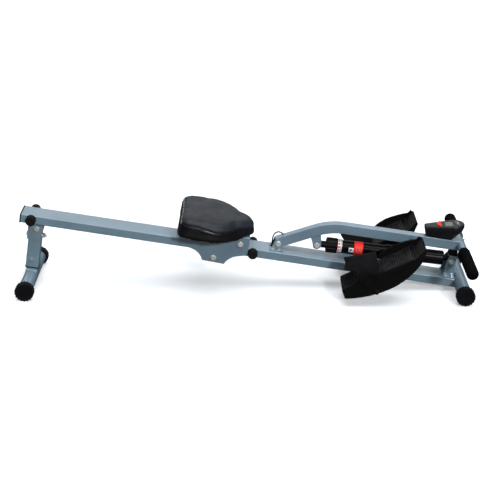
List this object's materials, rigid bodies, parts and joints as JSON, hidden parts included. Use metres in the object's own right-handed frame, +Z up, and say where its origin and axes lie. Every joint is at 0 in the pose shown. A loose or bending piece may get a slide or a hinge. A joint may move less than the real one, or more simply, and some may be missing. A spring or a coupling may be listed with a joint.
{
  "type": "rowing machine",
  "caption": "Low rowing machine: sloped rail with rolling seat, hinged pull arm over one hydraulic damper, tilting foot plates and a small monitor.",
  "frame": {"origin": "on the floor, under the middle of the base between the two cross tubes", "axes": "+X along the rail towards the foot end, +Y across the rail, +Z up"},
  "size_m": [1.378, 0.474, 0.2507],
  "materials": {
    "frame_paint": "satin",
    "cap_plastic": "matte",
    "stop_rubber": "matte",
    "zinc_steel": "satin",
    "seat_vinyl": "satin",
    "board_wood": "matte",
    "roller_plastic": "matte",
    "grip_foam": "matte",
    "damper_black": "gloss",
    "damper_red": "gloss",
    "scale_white": "gloss",
    "damper_steel": "polished",
    "pedal_plastic": "matte",
    "strap_rubber": "matte",
    "console_case": "satin",
    "console_window": "gloss",
    "button_red": "gloss",
    "lead_jacket": "satin",
    "bush_nylon": "matte"
  },
  "bodies": {
    "root": {"rail": "frame_paint", "rail_rear_cap": "cap_plastic", "rear_leg": "frame_paint", "leg_bracket": "frame_paint", "leg_bolts": "zinc_steel", "leg_collar": "cap_plastic", "leg_post": "frame_paint", "rear_cross_tube": "frame_paint", "rear_foot_caps": "cap_plastic", "front_cross_tube": "frame_paint", "front_foot_caps": "cap_plastic", "seat_stops": "stop_rubber", "stop_studs": "zinc_steel", "arm_bracket": "frame_paint", "arm_pivot_bolt": "zinc_steel", "bracket_bolts": "zinc_steel", "front_bracket": "frame_paint", "damper_front_bolt": "zinc_steel", "damper_spacers": "zinc_steel", "rest_block": "stop_rubber", "axle_tube": "frame_paint", "pedal_axle": "zinc_steel", "axle_nuts": "cap_plastic", "lead_grommet": "stop_rubber", "sensor_lead": "lead_jacket"},
    "seat_carriage": {"seat_bracket": "frame_paint", "seat_board": "board_wood", "seat_cushion": "seat_vinyl", "seat_screws": "zinc_steel", "carriage_axle_bolts": "zinc_steel", "axle_spacers": "zinc_steel"},
    "roller_front": {"front_roller": "roller_plastic"},
    "roller_rear": {"rear_roller": "roller_plastic"},
    "roller_lower": {"lower_roller": "roller_plastic"},
    "arm": {"pull_arm": "frame_paint", "damper_ears": "frame_paint", "damper_rear_bolt": "zinc_steel", "arm_pivot_bushes": "bush_nylon", "handle_bar": "frame_paint", "grip_near": "grip_foam", "grip_far": "grip_foam", "handle_screws": "zinc_steel", "console_lower_case": "console_case", "console_upper_case": "console_case", "console_lens": "console_window"},
    "monitor_button": {"console_button": "button_red"},
    "damper_rod": {"rod_eye": "damper_black", "piston_rod": "damper_steel"},
    "damper_cylinder": {"scale_ring": "scale_white", "damper_collar": "damper_black", "red_band": "damper_red", "damper_tube": "damper_black", "damper_sleeve": "damper_black", "front_eye": "damper_black"},
    "damper_knob": {"damper_dial": "damper_black"},
    "near_pedal": {"pedal_near": "pedal_plastic", "foot_strap_near": "strap_rubber"},
    "far_pedal": {"pedal_far": "pedal_plastic", "foot_strap_far": "strap_rubber"}
  },
  "joints": [
    {"name": "seat_slide", "type": "slide", "parent": "root", "child": "seat_carriage", "axis": [0.989, 0, -0.148], "range_m": [-0.44, 0]},
    {"name": "front_roller_spin", "type": "hinge", "parent": "seat_carriage", "child": "roller_front", "pos_m": [-0.01594, 0, 0.15102], "axis": [0, 1, 0], "range_deg": [-2058, 8]},
    {"name": "rear_roller_spin", "type": "hinge", "parent": "seat_carriage", "child": "roller_rear", "pos_m": [-0.16824, 0, 0.17381], "axis": [0, 1, 0], "range_deg": [-2058, 8]},
    {"name": "lower_roller_spin", "type": "hinge", "parent": "seat_carriage", "child": "roller_lower", "pos_m": [-0.09824, 0, 0.10641], "axis": [0, 1, 0], "range_deg": [-8, 1545]},
    {"name": "arm_pivot", "type": "hinge", "parent": "root", "child": "arm", "pos_m": [0.099, 0, 0.143], "axis": [0, -1, 0], "range_deg": [0, 45], "deforming": ["sensor_lead"]},
    {"name": "damper_rear_pivot", "type": "hinge", "parent": "arm", "child": "damper_rod", "pos_m": [0.2175, 0, 0.1375], "axis": [0, 1, 0], "range_deg": [0, 56]},
    {"name": "damper_front_pivot", "type": "hinge", "parent": "root", "child": "damper_cylinder", "pos_m": [0.63, 0, 0.0925], "axis": [0, 1, 0], "range_deg": [0, 11]},
    {"name": "dial_turn", "type": "hinge", "parent": "damper_cylinder", "child": "damper_knob", "pos_m": [0.26323, 0, 0.13251], "axis": [0.9941, 0, -0.1084], "range_deg": [-150, 150]},
    {"name": "near_pedal_tilt", "type": "hinge", "parent": "root", "child": "near_pedal", "pos_m": [0.3905, 0, 0.0516], "axis": [0, 1, 0], "range_deg": [-15, 30]},
    {"name": "far_pedal_tilt", "type": "hinge", "parent": "root", "child": "far_pedal", "pos_m": [0.3905, 0, 0.0516], "axis": [0, 1, 0], "range_deg": [-15, 30]},
    {"name": "button_press", "type": "slide", "parent": "arm", "child": "monitor_button", "axis": [0.0698, 0, -0.9976], "range_m": [0, 0.0012], "stiffness_N_per_m": 400, "springref_m": -0.002}
  ],
  "couplings": [
    {"joint": "front_roller_spin", "follows": "seat_slide", "rad_per_m": 81.301},
    {"joint": "rear_roller_spin", "follows": "seat_slide", "rad_per_m": 81.301},
    {"joint": "lower_roller_spin", "follows": "seat_slide", "rad_per_m": -60.976},
    {"joint": "damper_rear_pivot", "follows": "arm_pivot", "ratio": 1.24},
    {"joint": "damper_front_pivot", "follows": "arm_pivot", "ratio": 0.24}
  ]
}
